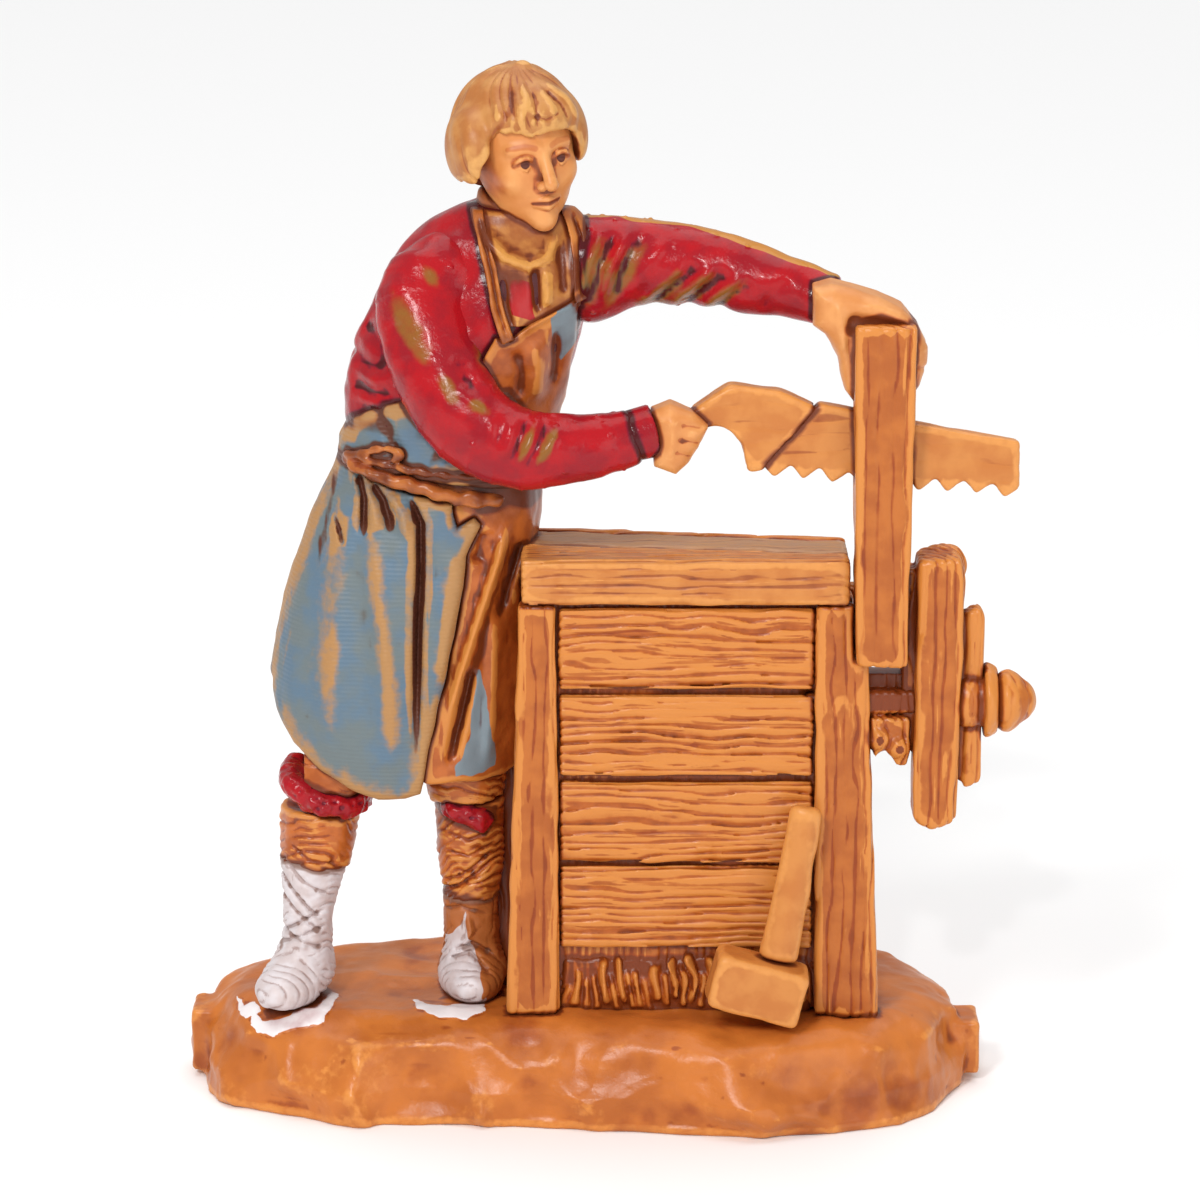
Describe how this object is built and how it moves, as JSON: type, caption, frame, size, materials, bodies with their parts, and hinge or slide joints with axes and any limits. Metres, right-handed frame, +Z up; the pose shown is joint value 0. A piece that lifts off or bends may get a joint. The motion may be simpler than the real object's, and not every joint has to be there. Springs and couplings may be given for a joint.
{
  "type": "carpenter crib figurine",
  "caption": "Painted plastic crib figure of a carpenter sawing an upright board held in the leg vise of a slatted workbench, on a rock-shaped foot.",
  "frame": {"origin": "on the table, under the middle of the model's box", "axes": "+Z up; -Y towards the viewer who sees the slatted front of the bench; -X the figure's end, +X the vise's end"},
  "size_m": [0.0572, 0.0263, 0.0716],
  "materials": {
    "ground": "ochre plastic, brown wash pooled in the rock's hollows, semi-gloss",
    "timber": "ochre plastic with moulded wood grain, red-brown wash in the grain, semi-gloss",
    "tools": "bare ochre plastic, lightly washed, semi-gloss",
    "skin": "bare ochre plastic with a light brown wash, satin",
    "hair": "ochre-yellow paint over moulded strands, satin",
    "red_cloth": "crimson paint, worn to olive-brown on the crests, glossy varnish",
    "blue_cloth": "blue-grey paint over ochre plastic, worn at hem and pleat crests, satin",
    "brown_cloth": "ochre plastic under a heavy brown wash, semi-gloss",
    "white_wraps": "white paint over ochre plastic, brushed on unevenly, satin"
  },
  "bodies": {
    "root": {"ground_foot": "ground", "saw_blade": "tools", "saw_handle": "tools", "board": "timber", "vise_screw": "timber", "vise_chop": "timber", "vise_bracket": "timber", "vise_bar": "timber", "vise_flange": "timber", "vise_knob": "timber", "bench_core": "timber", "bench_rail_front": "timber", "bench_top_plank": "timber", "bench_rail_back": "timber", "bench_post_front_left": "timber", "bench_post_back_left": "timber", "bench_post_front_right": "timber", "bench_post_back_right": "timber", "front_slat_1": "timber", "front_slat_2": "timber", "front_slat_3": "timber", "front_slat_4": "timber", "back_slat_1": "timber", "back_slat_2": "timber", "back_slat_3": "timber", "back_slat_4": "timber", "side_panel_left": "timber", "side_panel_right": "timber", "wood_shavings": "timber", "mallet_handle": "tools", "mallet_head": "tools", "tunic_skirt": "brown_cloth", "apron_skirt": "blue_cloth", "breeches_right": "brown_cloth", "garter_right": "red_cloth", "stocking_right": "brown_cloth", "shoe_right": "white_wraps", "breeches_left": "brown_cloth", "garter_left": "red_cloth", "stocking_left": "brown_cloth", "shoe_left": "white_wraps", "neck": "skin", "tunic_torso": "red_cloth", "apron_bib": "brown_cloth", "bib_strap_right": "brown_cloth", "bib_strap_left": "brown_cloth", "shirt_collar": "brown_cloth", "apron_waistband": "brown_cloth", "apron_knot": "brown_cloth", "sleeve_right": "red_cloth", "cuff_right": "red_cloth", "hand_right": "skin", "sleeve_left": "red_cloth", "hand_left": "skin", "head": "skin", "hair": "hair"}
  },
  "joints": []
}
